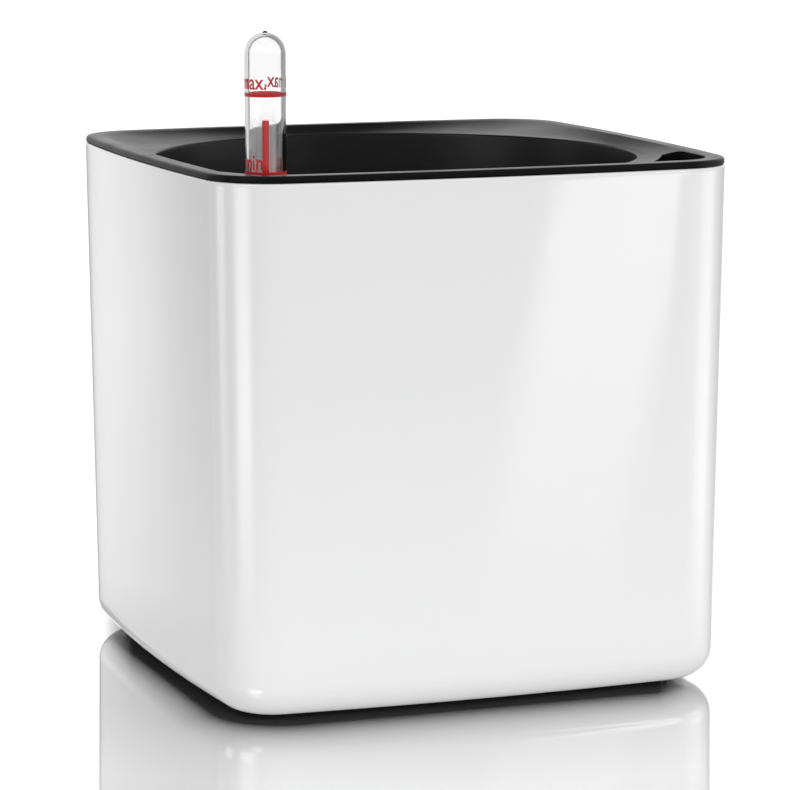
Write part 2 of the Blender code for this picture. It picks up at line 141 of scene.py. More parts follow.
def outline(inset):
    """A function from polar angle to radius, for the rim outline moved inwards by inset."""
    joint = joint_direction(inset)

    def radius_at(angle):
        folded = abs((angle + QUARTER / 2) % QUARTER - QUARTER / 2)
        if folded < joint:
            centre, radius = Vector((SIDE_CENTRE, 0.0)), SIDE_RADIUS - inset
        else:
            centre, radius = Vector((CORNER_CENTRE, CORNER_CENTRE)), CORNER_RADIUS - inset
        along = centre.dot(Vector((math.cos(folded), math.sin(folded))))
        return along + math.sqrt(radius**2 - centre.length_squared + along**2)

    return radius_at


def circle(radius):
    return lambda angle: radius


def between(first, second, share):
    return lambda angle: first(angle) * (1 - share) + second(angle) * share


def ray_angles():
    """Polar angles of the loft's rays, closer together round the corners."""
    side = joint_direction(0.0)
    angles = []
    for quarter in range(4):
        start = quarter * QUARTER - side
        angles += [start + 2 * side * step / SIDE_STEPS for step in range(SIDE_STEPS)]
        corner = QUARTER - 2 * side
        angles += [start + 2 * side + corner * step / CORNER_STEPS for step in range(CORNER_STEPS)]
    return angles


RAYS = ray_angles()


def arc(centre, radius, start, end, steps):
    """Points (across, up) on an arc, both ends included, with angles in degrees."""
    turns = [math.radians(start + (end - start) * step / steps) for step in range(steps + 1)]
    return [(centre[0] + radius * math.cos(turn), centre[1] + radius * math.sin(turn)) for turn in turns]


# ---------------------------------------------------------------- material helpers


class Nodes:
    """Builds a material's or a world's node tree with short calls."""

    def __init__(self, name, owner=None):
        self.material = owner or bpy.data.materials.new(name)
        self.material.use_nodes = True
        self.tree = self.material.node_tree
        self.shader = self.tree.nodes.get("Principled BSDF")
        self.output = self.tree.nodes.get("Material Output")
        self.coordinates = self.add("ShaderNodeTexCoord")
        self.place = self.coordinates.outputs["Object"]

    def add(self, kind, **settings):
        node = self.tree.nodes.new(kind)
        for key, value in settings.items():
            setattr(node, key, value)
        return node

    def link(self, output, target):
        self.tree.links.new(output, target)

    def noise(self, scale, detail=3.0, roughness=0.5, stretch=(1, 1, 1)):
        mapping = self.add("ShaderNodeMapping")
        mapping.inputs["Scale"].default_value = stretch
        self.link(self.place, mapping.inputs["Vector"])
        noise = self.add("ShaderNodeTexNoise")
        noise.inputs["Scale"].default_value = scale
        noise.inputs["Detail"].default_value = detail
        noise.inputs["Roughness"].default_value = roughness
        self.link(mapping.outputs["Vector"], noise.inputs["Vector"])
        return noise.outputs["Fac"]

    def remap(self, value, low, high, start=0.3, end=0.7, shape="LINEAR"):
        """Spreads the middle of a 0 to 1 pattern over low to high."""
        node = self.add("ShaderNodeMapRange", interpolation_type=shape)
        for key, number in zip(("From Min", "From Max", "To Min", "To Max"), (start, end, low, high)):
            node.inputs[key].default_value = number
        self.link(value, node.inputs["Value"])
        return node.outputs["Result"]

    def math(self, operation, *values):
        node = self.add("ShaderNodeMath", operation=operation)
        for socket, value in zip(node.inputs, values):
            if isinstance(value, bpy.types.NodeSocket):
                self.link(value, socket)
            else:
                socket.default_value = value
        return node.outputs["Value"]

    def choose(self, factor, below, above):
        """The value below where factor is 0, the constant above where it is 1."""
        mix = self.add("ShaderNodeMix")
        self.link(factor, mix.inputs["Factor"])
        self.link(below, mix.inputs["A"])
        mix.inputs["B"].default_value = above
        return mix.outputs["Result"]

    def blend(self, factor, first, second):
        mix = self.add("ShaderNodeMix", data_type="RGBA")
        mix.inputs["A"].default_value = (*first, 1.0)
        mix.inputs["B"].default_value = (*second, 1.0)
        self.link(factor, mix.inputs["Factor"])
        return mix.outputs["Result"]

    def mixed(self, factor, first, second):
        """A mix of two shader nodes."""
        mix = self.add("ShaderNodeMixShader")
        self.link(factor, mix.inputs["Fac"])
        self.link(first.outputs[0], mix.inputs[1])
        self.link(second.outputs[0], mix.inputs[2])
        return mix

    def bump(self, height, distance, strength=1.0):
        node = self.add("ShaderNodeBump")
        node.inputs["Strength"].default_value = strength
        node.inputs["Distance"].default_value = distance
        self.link(height, node.inputs["Height"])
        return node.outputs["Normal"]

    def set(self, **values):
        for key, value in values.items():
            socket = self.shader.inputs[key.replace("_", " ")]
            if isinstance(value, bpy.types.NodeSocket):
                self.link(value, socket)
            else:
                socket.default_value = value
        return self


def gloss_white():
    """Polished white plastic: faint flow lines in the tone and a soft orange peel."""
    n = Nodes("casing_gloss_white")
    tone = n.blend(n.noise(14, 2), (0.800, 0.802, 0.805), (0.812, 0.812, 0.812))
    haze = n.remap(n.noise(60, 4), 0.050, 0.085)
    peel = n.bump(n.noise(420, 1), 0.000004, 0.35)
    n.set(Base_Color=tone, Roughness=haze, Normal=peel, IOR=1.5)
    return n.material


FASCIA_FROM = (65.5 * MM, 67.5 * MM)  # distance from the planter's middle where the flange's side starts


def satin_black():
    """Black polypropylene with a fine spark-eroded grain, duller on the flange's upright outer side."""
    n = Nodes("liner_satin_black")
    tone = n.blend(n.noise(30, 3), (0.0032, 0.0032, 0.0034), (0.0046, 0.0046, 0.0049))
    sheen = n.remap(n.noise(90, 4), 0.29, 0.35)
    grain = n.bump(n.noise(5200, 2), 0.000012, 0.25)
    axes = n.add("ShaderNodeSeparateXYZ")
    n.link(n.coordinates.outputs["Normal"], axes.inputs["Vector"])
    flat = n.add("ShaderNodeVectorMath", operation="MULTIPLY")
    n.link(n.place, flat.inputs[0])
    flat.inputs[1].default_value = (1.0, 1.0, 0.0)
    outwards = n.add("ShaderNodeVectorMath", operation="LENGTH")
    n.link(flat.outputs["Vector"], outwards.inputs[0])
    upright = n.remap(n.math("ABSOLUTE", axes.outputs["Z"]), 1.0, 0.0, 0.3, 0.8)
    fascia = n.math("MULTIPLY", upright, n.remap(outwards.outputs["Value"], 0.0, 1.0, *FASCIA_FROM))
    sheen_level = n.remap(fascia, 0.5, 0.2, 0.0, 1.0)
    n.set(Base_Color=tone, Roughness=sheen, Normal=grain, IOR=1.17, Specular_IOR_Level=sheen_level)
    return n.material


# The clear tube, with painted shade: what its wall keeps of light that bounces inside it (a painted grey
# band), and what its far side takes from light that grazes it, over these facings (painted dark edge
# lines).
INNER_BOUNCE = 0.7
BORE_EDGE, BORE_FACING = 0.93, (0.50, 0.80)

# Painted light: pale upright streaks of a white film inside the bore, standing in for light seen through
# it: thinnest and thickest cover, and where above the rim they fade out.
PAINTED_STREAK_COVER = (0.08, 0.65)
PAINTED_STREAK_TOP = (RIM_TOP + 11.0 * MM, RIM_TOP + 14.0 * MM)


def painted_light_cover(n, path, within):
    """How thickly the painted light streaks cover the bore's far side, seen from inside it."""
    crossed = n.math("COMPARE", path.outputs["Transmission Depth"], 2.0, 0.5)
    far_bore = n.math("MULTIPLY", crossed, n.math("SUBTRACT", 1.0, within))
    axes = n.add("ShaderNodeSeparateXYZ")
    n.link(n.place, axes.inputs["Vector"])
    low_down = n.remap(axes.outputs["Z"], 1.0, 0.0, *PAINTED_STREAK_TOP)
    painted_light_bands = n.remap(n.noise(500, 1, stretch=(1, 1, 0.02)), *PAINTED_STREAK_COVER)
    return n.math("MULTIPLY", n.math("MULTIPLY", painted_light_bands, low_down), far_bore)


def clear_plastic():
    """Clear styrene with slight flow waviness, painted shade in its wall and painted light streaks in its
    bore. It lets lamps through to what is inside.
    """
    n = Nodes("tube_clear")
    wave = n.bump(n.noise(160, 1, stretch=(1, 1, 0.25)), 0.00001, 0.25)
    haze = n.remap(n.noise(120, 3), 0.0, 0.02)
    inside = n.add("ShaderNodeBsdfRefraction")
    inside.inputs["IOR"].default_value = 1.5
    surface = n.add("ShaderNodeBsdfGlossy")
    for shader in (inside, surface):
        n.link(haze, shader.inputs["Roughness"])
        n.link(wave, shader.inputs["Normal"])
    bounce = n.add("ShaderNodeFresnel")
    bounce.inputs["IOR"].default_value = 1.5
    glass = n.mixed(n.math("POWER", bounce.outputs["Fac"], 1.4), inside, surface)
    path = n.add("ShaderNodeLightPath")
    # Painted shade: the far side of the glass is darkened where it is seen at a glance, and bounces inside
    # the wall are greyed.
    far_side = n.math("GREATER_THAN", path.outputs["Transmission Depth"], 1.5)
    facing = n.add("ShaderNodeLayerWeight").outputs["Facing"]
    painted_edge_shade = n.remap(facing, 0.0, BORE_EDGE, *BORE_FACING)
    kept = n.math("SUBTRACT", 0.99, n.math("MULTIPLY", far_side, painted_edge_shade))
    within = n.add("ShaderNodeNewGeometry").outputs["Backfacing"]
    n.link(kept, inside.inputs["Color"])
    n.link(n.choose(within, kept, INNER_BOUNCE), surface.inputs["Color"])
    through = n.add("ShaderNodeBsdfTransparent")
    through.inputs["Color"].default_value = (0.93, 0.94, 0.94, 1.0)
    # Painted light: a white diffuse film laid in streaks over the bore's far side, low down.
    painted_light_film = n.add("ShaderNodeBsdfDiffuse")
    painted_light_film.inputs["Color"].default_value = (0.9, 0.9, 0.9, 1.0)
    glass = n.mixed(painted_light_cover(n, path, within), glass, painted_light_film)
    clear = n.mixed(path.outputs["Is Shadow Ray"], glass, through)
    n.link(clear.outputs[0], n.output.inputs["Surface"])
    return n.material


def moulded(name, dark, light, roughness, grain_scale, grain_depth, ior=1.5):
    """A plain moulded plastic with its own tone variation, uneven sheen and surface grain."""
    n = Nodes(name)
    tone = n.blend(n.noise(45, 3), dark, light)
    sheen = n.remap(n.noise(110, 4), roughness * 0.85, roughness * 1.15)
    grain = n.bump(n.noise(grain_scale, 2), grain_depth, 0.4)
    return n.set(Base_Color=tone, Roughness=sheen, Normal=grain, IOR=ior).material


def foam():
    """Closed-cell foam: small rounded cells."""
    n = Nodes("float_foam")
    cells = n.add("ShaderNodeTexVoronoi")
    cells.inputs["Scale"].default_value = 1100
    n.link(n.place, cells.inputs["Vector"])
    tone = n.blend(cells.outputs["Distance"], (0.86, 0.86, 0.84), (0.70, 0.70, 0.68))
    n.set(Base_Color=tone, Roughness=0.75, Normal=n.bump(cells.outputs["Distance"], 0.00006, -0.6))
    return n.material


def cord_fibre():
    """Undyed polyester cord with fine yarns across each strand."""
    n = Nodes("wick_cord")
    yarn = n.noise(900, 3, 0.6, (1, 1, 4))
    tone = n.blend(n.remap(yarn, 0, 1), (0.50, 0.47, 0.41), (0.78, 0.75, 0.69))
    n.set(Base_Color=tone, Roughness=0.92, Normal=n.bump(yarn, 0.00008, 0.8))
    n.set(Sheen_Weight=0.3)
    return n.material


def print_red():
    """Screen-printed red ink: slightly uneven cover."""
    n = Nodes("print_red")
    cover = n.noise(700, 3)
    tone = n.blend(n.remap(cover, 0, 1), (0.42, 0.008, 0.010), (0.52, 0.016, 0.018))
    n.set(Base_Color=tone, Roughness=n.remap(cover, 0.3, 0.45), IOR=1.3)
    return n.material


# ---------------------------------------------------------------- shape helpers

PARTS = bpy.data.collections.new("planter_looks")
bpy.context.scene.collection.children.link(PARTS)


def finish_mesh(mesh, sharp_degrees=35):
    mesh.shade_smooth()
    mesh.set_sharp_from_angle(angle=math.radians(sharp_degrees))
    return mesh


def mesh_from(name, bm):
    bmesh.ops.recalc_face_normals(bm, faces=bm.faces)
    if bm.calc_volume(signed=True) < 0:
        bmesh.ops.reverse_faces(bm, faces=bm.faces)
    mesh = bpy.data.meshes.new(name)
    bm.to_mesh(mesh)
    bm.free()
    return finish_mesh(mesh)


def add_piece(name, mesh, material, body, slot, *nodes):
    """Places a finished mesh on its body, standing for the CAD nodes named."""
    piece = bpy.data.objects.new(name, mesh)
    PARTS.objects.link(piece)
    mesh.materials.clear()
    mesh.materials.append(material)
    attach(piece, body)
    if nodes:
        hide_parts(*nodes)
    return piece


def loft(name, sections):
    """A closed mesh through sections (radius function, z), each end capped by a fan."""
    bm = bmesh.new()
    rings = []
    for radius_at, z in sections:
        points = [(radius_at(a) * math.cos(a), radius_at(a) * math.sin(a), z) for a in RAYS]
        rings.append([bm.verts.new(point) for point in points])
    for lower, upper in zip(rings, rings[1:]):
        for i, vert in enumerate(lower):
            after = (i + 1) % len(RAYS)
            bm.faces.new((vert, lower[after], upper[after], upper[i]))
    for ring in (rings[0], rings[-1]):
        middle = bm.verts.new((0.0, 0.0, ring[0].co.z))
        for i, vert in enumerate(ring):
            bm.faces.new((vert, ring[(i + 1) % len(RAYS)], middle))
    return mesh_from(name, bm)


def prism(name, outline_points, low, high):
    bm = bmesh.new()
    base = bm.faces.new([bm.verts.new((x, y, low)) for x, y in outline_points])
    grown = bmesh.ops.extrude_face_region(bm, geom=[base])
    top = [item for item in grown["geom"] if isinstance(item, bmesh.types.BMVert)]
    bmesh.ops.translate(bm, verts=top, vec=(0, 0, high - low))
    return mesh_from(name, bm)


def rod_mesh(name, radius, low, high, sides=64, centre=(0.0, 0.0)):
    bm = bmesh.new()
    bmesh.ops.create_cone(
        bm, cap_ends=True, segments=sides, radius1=radius, radius2=radius, depth=high - low
    )
    bmesh.ops.translate(bm, verts=bm.verts, vec=(*centre, (high + low) / 2))
    return mesh_from(name, bm)


def turned_mesh(name, profile, closed=False, centre=None, steps=TURNED_STEPS):
    """A profile (radius, z) spun about a vertical line. It runs down the outer side, top to bottom."""
    centre = centre or INDICATOR_AXIS
    bm = bmesh.new()
    columns = []
    for radius, z in profile:
        if radius < 1e-7:
            columns.append([bm.verts.new((centre.x, centre.y, z))] * steps)
            continue
        turns = [math.tau * i / steps for i in range(steps)]
        points = [(centre.x + radius * math.cos(t), centre.y + radius * math.sin(t), z) for t in turns]
        columns.append([bm.verts.new(point) for point in points])
    pairs = list(zip(columns, columns[1:] + columns[:1])) if closed else list(zip(columns, columns[1:]))
    for upper, lower in pairs:
        for i in range(steps):
            after = (i + 1) % steps
            corners = [upper[i], upper[after], lower[after], lower[i]]
            unique = list(dict.fromkeys(corners))
            if len(unique) > 2:
                bm.faces.new(unique)
    return mesh_from(name, bm)


def carved(name, base, changes):
    """The base mesh after joining and cutting others, in order, as one plain mesh."""
    scene = bpy.context.scene
    target = bpy.data.objects.new(f"{name}_work", base)
    helpers = [target]
    scene.collection.objects.link(target)
    for operation, mesh in changes:
        helper = bpy.data.objects.new(f"{name}_{operation}", mesh)
        scene.collection.objects.link(helper)
        helpers.append(helper)
        modifier = target.modifiers.new(operation, "BOOLEAN")
        modifier.operation = operation
        modifier.solver = "EXACT"
        modifier.object = helper
    bpy.context.view_layer.update()
    evaluated = target.evaluated_get(bpy.context.evaluated_depsgraph_get())
    made = bpy.data.meshes.new_from_object(evaluated)
    for helper in helpers:
        bpy.data.objects.remove(helper, do_unlink=True)
    made.name = name
    return finish_mesh(made)


# ---------------------------------------------------------------- outer casing and pads


def casing_sections():
    """Up the outside from the underside, over the edge and down the inside to the floor."""
    fillet_top = UNDERSIDE + BASE_FILLET
    side = DRAFT * (RIM_TOP - fillet_top)
    outer = arc((side + BASE_FILLET, fillet_top), BASE_FILLET, 270, 180, 14)
    outer += [(DRAFT * (RIM_TOP - z), z) for z in (fillet_top + 0.8 * MM, CASING_TOP - 1.5 * MM)]
    lean = DRAFT * BAND_HEIGHT
    edge = arc((lean + CASING_EDGE, CASING_TOP - CASING_EDGE), CASING_EDGE, 180, 90, 5)
    inner_edge = arc((lean + CASING_WALL - CASING_EDGE, CASING_TOP - CASING_EDGE), CASING_EDGE, 90, 0, 3)
    inside = arc((side + BASE_FILLET, fillet_top), BASE_FILLET - CASING_WALL, 180, 270, 8)
    return [(outline(inset), z) for inset, z in outer + edge + inner_edge + inside]


def make_casing():
    base = loft("casing_shell", casing_sections())
    well = rod_mesh("base_well", BASE_WELL_RADIUS, 0.0, UNDERSIDE + BASE_WELL_DEPTH, 96)
    cuts = [("DIFFERENCE", well)]
    for node in PAD_NODES:
        low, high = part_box(node)
        middle, radius = (low + high) / 2, (high.x - low.x) / 2
        pocket = rod_mesh("pocket", radius + GAP, 0.0, UNDERSIDE + PAD_POCKET, 48, middle.xy)
        cuts.append(("DIFFERENCE", pocket))
    mesh = carved("casing_shell", base, cuts)
    add_piece("casing_shell", mesh, gloss_white(), "casing", "casing_gloss", "outer_casing")


def make_pads():
    soft = moulded("pad_white_rubber", (0.62, 0.62, 0.61), (0.70, 0.70, 0.69), 0.6, 1500, 0.00004)
    for node in PAD_NODES:
        low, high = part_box(node)
        radius, edge = (high.x - low.x) / 2, 0.4 * MM
        profile = [(0.0, high.z), (radius, high.z)]
        profile += arc((radius - edge, low.z + edge), edge, 0, -90, 5) + [(0.0, low.z)]
        mesh = turned_mesh(node, profile, centre=(low + high) / 2, steps=48)
        add_piece(f"soft_{node}", mesh, soft, "casing", "pad_rubber", node)


# ---------------------------------------------------------------- liner


def bowl_sections(thickness, steps):
    slope = (LIP_RADIUS - BOWL_BOTTOM_RADIUS) / (RIM_TOP - LIP_DROP - BOWL_FLOOR)
    turn_height = BOWL_FLOOR + BOWL_FILLET
    turn_radius = BOWL_BOTTOM_RADIUS + slope * BOWL_FILLET - BOWL_FILLET
    corner = arc((turn_radius, turn_height), BOWL_FILLET + thickness, 0, -90, steps)
    return [(circle(radius), z) for radius, z in corner]


def liner_block_sections():
    """Outside of the liner, from under the bowl to the rim, filled solid to the rim top."""
    under = list(reversed(bowl_sections(LINER_WALL, 10)))
    lip = (circle(LIP_RADIUS + LINER_WALL), RIM_TOP - LIP_DROP - 1.2 * LINER_WALL)
    flange_under = CASING_TOP + GAP
    shoulder = (outline(LAND_INSET - LINER_WALL), flange_under)
    middle = (between(lip[0], shoulder[0], 0.5), RIM_TOP - LIP_DROP * 0.75 - LINER_WALL)
    edge_low = (outline(FLANGE_INSET), flange_under)
    rounding = arc((FLANGE_INSET + FLANGE_EDGE, RIM_TOP - FLANGE_EDGE), FLANGE_EDGE, 180, 90, 8)
    return under + [lip, middle, shoulder, edge_low] + [(outline(inset), z) for inset, z in rounding]


def liner_hollow_sections():
    """The air inside the liner: over the dished flange, then down into the bowl."""
    land, lip = outline(LAND_INSET), circle(LIP_RADIUS)
    sections = [(land, RIM_TOP + 5 * MM)]
    steps = 12
    for step in range(steps + 1):
        share = step / steps
        fall = 1 - (1 - share) ** 2
        sections.append((between(land, lip, share), RIM_TOP - LIP_DROP * fall))
    edge = arc((LIP_RADIUS, RIM_TOP - LIP_DROP - LIP_EDGE), LIP_EDGE, 90, 180, 5)
    sections += [(circle(radius), z) for radius, z in edge[1:]]
    return sections + bowl_sections(0.0, 12)


def fill_cell(wall):
    """Plan of the fill opening moved outwards by wall, between an arc round the bowl and the rim."""
    middle = -QUARTER / 2
    inner, rim = FILL_ARC_RADIUS - wall, outline(FILL_INSET - wall)
    spread = FILL_HALF_SPREAD + wall / FILL_ARC_RADIUS
    reach = spread - FILL_CORNER_TURN

    def at(radius, turn):
        return Vector((radius * math.cos(middle + turn), radius * math.sin(middle + turn)))

    def on_rim(turn):
        return at(rim(middle + turn), turn)

    def rounded(start, corner, end):
        shares = [step / 8 for step in range(1, 8)]
        return [start.lerp(corner, t).lerp(corner.lerp(end, t), t) for t in shares]

    steps = [2 * step / 32 - 1 for step in range(33)]
    near = [at(inner, spread * step) for step in steps]
    far = [on_rim(-reach * step) for step in steps]
    right_end = rounded(near[-1], on_rim(spread), far[0])
    left_end = rounded(far[-1], on_rim(-spread), near[0])
    return [tuple(point) for point in near + right_end + far + left_end]


def make_liner():
    buried = RIM_TOP - 0.8 * MM
    skirt_low, skirt_out = RIM_TOP - SKIRT_DEPTH, outline(SKIRT_INSET)
    skirt_in = outline(SKIRT_INSET + SKIRT_WALL)
    skirt_base = loft("skirt", [(skirt_out, skirt_low), (skirt_out, buried)])
    skirt_hole = loft("skirt_hole", [(skirt_in, skirt_low - MM), (skirt_in, buried + MM)])
    skirt = carved("skirt", skirt_base, [("DIFFERENCE", skirt_hole)])
    shaft_plan = fill_cell(FILL_SHAFT_WALL)
    socket_place = INDICATOR_AXIS.xy
    below, above = RIM_TOP - FILL_SHAFT_DEPTH - 5 * MM, RIM_TOP + 5 * MM
    through = (BOWL_FLOOR - 5 * MM, BOWL_FLOOR + 5 * MM)
    changes = [
        ("UNION", skirt),
        ("UNION", prism("shaft", shaft_plan, RIM_TOP - FILL_SHAFT_DEPTH, buried)),
        ("UNION", rod_mesh("socket", SOCKET_RADIUS, RIM_TOP - SOCKET_DEPTH, buried, 64, socket_place)),
        ("DIFFERENCE", loft("hollow", liner_hollow_sections())),
        ("DIFFERENCE", prism("opening", fill_cell(0.0), below, above)),
        ("DIFFERENCE", rod_mesh("bore", SOCKET_BORE, below, above, 64, socket_place)),
    ]
    for x in (-WICK_OFFSET, WICK_OFFSET):
        changes.append(("DIFFERENCE", rod_mesh("wick_hole", WICK_HOLE_RADIUS, *through, 48, (x, 0.0))))
    for index in range(DRAIN_COUNT):
        turn = math.tau * (index + 0.5) / DRAIN_COUNT
        place = (DRAIN_CIRCLE * math.cos(turn), DRAIN_CIRCLE * math.sin(turn))
        changes.append(("DIFFERENCE", rod_mesh("drain", DRAIN_RADIUS, *through, 32, place)))
    mesh = carved("liner_moulding", loft("block", liner_block_sections()), changes)
    add_piece("liner_moulding", mesh, satin_black(), "liner", "liner_satin", "liner")


# ---------------------------------------------------------------- wicks


def smooth_path(points, spacing):
    """The polyline resampled at an even spacing."""
    path = [Vector(points[0])]
    left = spacing
    for start, end in zip(points, points[1:]):
        start, end = Vector(start), Vector(end)
        length = (end - start).length
        done = 0.0
        while length - done >= left:
            done += left
            path.append(start.lerp(end, done / length))
            left = spacing
        left -= length - done
    return path


def make_wick(node, side, material):
    """A round braided cord on the CAD cord's path: two sets of strands wind round it and cross."""
    low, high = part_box(node)
    radius = (high.y - low.y) / 2
    bend = 4.0 * MM
    top, bottom = BOWL_FLOOR + GAP + radius, low.z + radius
    path = [(WICK_OFFSET + 21 * MM, top)]
    path += arc((WICK_OFFSET + bend, top - bend), bend, 90, 180, 10)
    path += arc((WICK_OFFSET + bend, bottom + bend), bend, 180, 270, 10)
    path += [(WICK_OFFSET + 15 * MM, bottom)]
    points = smooth_path([(side * x, 0.0, z) for x, z in path], 0.25 * MM)
    around, strands, pitch = 64, 8, 9.0 * MM
    relief = 0.16
    bm = bmesh.new()
    rings = []
    for index, point in enumerate(points):
        before, after = points[max(index - 1, 0)], points[min(index + 1, len(points) - 1)]
        along = (after - before).normalized()
        sideways = Vector((0.0, 1.0, 0.0))
        upright = along.cross(sideways)
        travel = math.tau * index * 0.25 * MM / pitch
        end = min(index, len(points) - 1 - index) / 6
        close = math.sqrt(max(0.0, 1 - (1 - min(end, 1.0)) ** 2)) * 0.55 + 0.45
        ring = []
        for step in range(around):
            turn = math.tau * step / around
            left = abs(math.sin(strands / 2 * (turn + travel)))
            right = abs(math.sin(strands / 2 * (turn - travel)))
            size = radius * close * (1 - relief + relief * max(left, right))
            ring.append(bm.verts.new(point + (sideways * math.cos(turn) + upright * math.sin(turn)) * size))
        rings.append(ring)
    for first, second in zip(rings, rings[1:]):
        for step in range(around):
            after = (step + 1) % around
            bm.faces.new((first[step], first[after], second[after], second[step]))
    bm.faces.new(rings[0])
    bm.faces.new(rings[-1])
    add_piece(f"braided_{node}", mesh_from(node, bm), material, "liner", "wick_fibre", node)


# ---------------------------------------------------------------- water level indicator


def make_tube():
    """Clear tube with a domed top, a moulding nub and a spigot that plugs into the housing."""
    spigot_end = TUBE_LOW.z
    bore = TUBE_RADIUS - TUBE_WALL
    spigot_bore = SPIGOT_RADIUS - TUBE_WALL
    centre = (0.0, TUBE_TOP - TUBE_RADIUS)
    nub = [(0.0, TUBE_HIGH.z), (0.3 * MM, TUBE_HIGH.z - 0.02 * MM), (0.5 * MM, TUBE_HIGH.z - 0.15 * MM)]
    profile = nub + arc(centre, TUBE_RADIUS, 83, 0, 24)
    profile += [(TUBE_RADIUS, SHOULDER + 0.2 * MM), (TUBE_RADIUS - 0.2 * MM, SHOULDER)]
    profile += [(SPIGOT_RADIUS, SHOULDER), (SPIGOT_RADIUS, spigot_end), (spigot_bore, spigot_end)]
    profile += [(spigot_bore, SHOULDER + 0.5 * MM), (bore, SHOULDER + 1.5 * MM)]
    profile += arc(centre, bore, 0, 90, 24)
    mesh = turned_mesh("clear_tube", profile, steps=96)
    add_piece("clear_tube", mesh, clear_plastic(), "indicator", "tube_clear", "indicator_tube")


def make_ring(name, height, material):
    """A printed band just proud of the tube."""
    z, half = RIM_TOP + height, RING_HEIGHT / 2
    inner, outer = TUBE_RADIUS + 0.01 * MM, TUBE_RADIUS + 0.01 * MM + PRINT_THICKNESS
    profile = [(outer, z + half), (outer, z - half), (inner, z - half), (inner, z + half)]
    add_piece(name, turned_mesh(name, profile, closed=True, steps=96), material, "indicator", "rod_red")


def wrapped_text(name, words, height, facing, material):
    """Text bent round the tube, with its end at the direction facing, given thickness."""
    curve = bpy.data.curves.new(name, "FONT")
    curve.body = words
    curve.size = LETTER_SIZE
    curve.offset = LETTER_WEIGHT
    curve.align_x = "RIGHT"
    curve.resolution_u = 4
    letter = bpy.data.objects.new(name, curve)
    bpy.context.scene.collection.objects.link(letter)
    bpy.context.view_layer.update()
    evaluated = letter.evaluated_get(bpy.context.evaluated_depsgraph_get())
    bm = bmesh.new()
    bm.from_mesh(bpy.data.meshes.new_from_object(evaluated))
    bpy.data.objects.remove(letter, do_unlink=True)
    bmesh.ops.remove_doubles(bm, verts=bm.verts, dist=1e-7)
    left = min(v.co.x for v in bm.verts)
    right = max(v.co.x for v in bm.verts)
    slices = 40
    for index in range(1, slices):
        place = left + (right - left) * index / slices
        geometry = bm.verts[:] + bm.edges[:] + bm.faces[:]
        bmesh.ops.bisect_plane(bm, geom=geometry, plane_co=(place, 0, 0), plane_no=(1, 0, 0))
    grown = bmesh.ops.extrude_face_region(bm, geom=bm.faces[:])
    raised = {item for item in grown["geom"] if isinstance(item, bmesh.types.BMVert)}
    inner = TUBE_RADIUS + 0.01 * MM
    for vert in bm.verts:
        radius = inner + (PRINT_THICKNESS if vert in raised else 0.0)
        turn = facing + (LETTER_WIDTH * (vert.co.x - right) + LETTER_OVERHANG) / TUBE_RADIUS
        place = Vector((math.cos(turn) * radius, math.sin(turn) * radius, RIM_TOP + height + vert.co.y))
        vert.co = place + Vector((INDICATOR_AXIS.x, INDICATOR_AXIS.y, 0.0))
    add_piece(name, mesh_from(name, bm), material, "indicator", "rod_red")


def make_housing(material):
    ledge = GUIDE_LOW.z - GAP
    chamber = 3.6 * MM
    wide = SPIGOT_RADIUS + GAP
    top, low, edge = HOUSING_HIGH.z, HOUSING_LOW.z, 0.25 * MM
    profile = arc((TUBE_RADIUS - edge, top - edge), edge, 90, 0, 3)
    profile += [(TUBE_RADIUS, low), (chamber, low), (chamber, ledge), (wide, ledge), (wide, top)]
    base = turned_mesh("float_housing", profile, closed=True)
    cuts = []
    width, height = 3.0 * MM, 18.0 * MM
    for bottom in (13 * MM, 37 * MM):
        for along_x in (True, False):
            long, short = 2 * TUBE_RADIUS, width / 2
            half = (long, short) if along_x else (short, long)
            flat = [(-half[0], -half[1]), (half[0], -half[1]), (half[0], half[1]), (-half[0], half[1])]
            plan = [(INDICATOR_AXIS.x + x, INDICATOR_AXIS.y + y) for x, y in flat]
            cuts.append(("DIFFERENCE", prism("window", plan, bottom, bottom + height)))
    mesh = carved("float_housing", base, cuts)
    add_piece("float_housing", mesh, material, "indicator", "housing_black", "indicator_housing")


def make_guide():
    hole, edge = 1.15 * MM, 0.2 * MM
    top, low = GUIDE_HIGH.z, GUIDE_LOW.z
    profile = [(SPIGOT_RADIUS - edge, top), (SPIGOT_RADIUS, top - edge), (SPIGOT_RADIUS, low)]
    profile += [(hole, low), (hole, top - edge), (hole + edge, top)]
    grey = moulded("guide_grey_plastic", (0.42, 0.42, 0.41), (0.50, 0.50, 0.49), 0.35, 2500, 0.00002)
    mesh = turned_mesh("rod_bush", profile, closed=True)
    add_piece("rod_bush", mesh, grey, "indicator", "guide_plastic", "rod_guide")


def make_end_cap(material):
    low, top = CAP_LOW.z, CAP_HIGH.z
    flange_top = low + 1.7 * MM
    plug, hole, chamfer = 3.3 * MM, 1.2 * MM, 0.5 * MM
    profile = [(plug - 0.2 * MM, top), (plug, top - 0.2 * MM), (plug, flange_top)]
    profile += [(TUBE_RADIUS, flange_top)]
    profile += arc((TUBE_RADIUS - chamfer, low + chamfer), chamfer, 0, -90, 5)
    profile += [(hole, low), (hole, top)]
    mesh = turned_mesh("housing_cap", profile, closed=True)
    add_piece("housing_cap", mesh, material, "indicator", "housing_black", "indicator_end_cap")


def make_float():
    radius, hole = (FLOAT_HIGH.x - FLOAT_LOW.x) / 2, 1.15 * MM
    low, top, edge = FLOAT_LOW.z, FLOAT_HIGH.z, 0.6 * MM
    seat = top - 10.0 * MM
    profile = [(0.0, seat), (hole, seat), (hole, top)]
    profile += arc((radius - edge, top - edge), edge, 90, 0, 5)
    profile += arc((radius - edge, low + edge), edge, 0, -90, 5) + [(0.0, low)]
    add_piece("foam_float", turned_mesh("foam_float", profile), foam(), "float", "float_foam", "float_body")


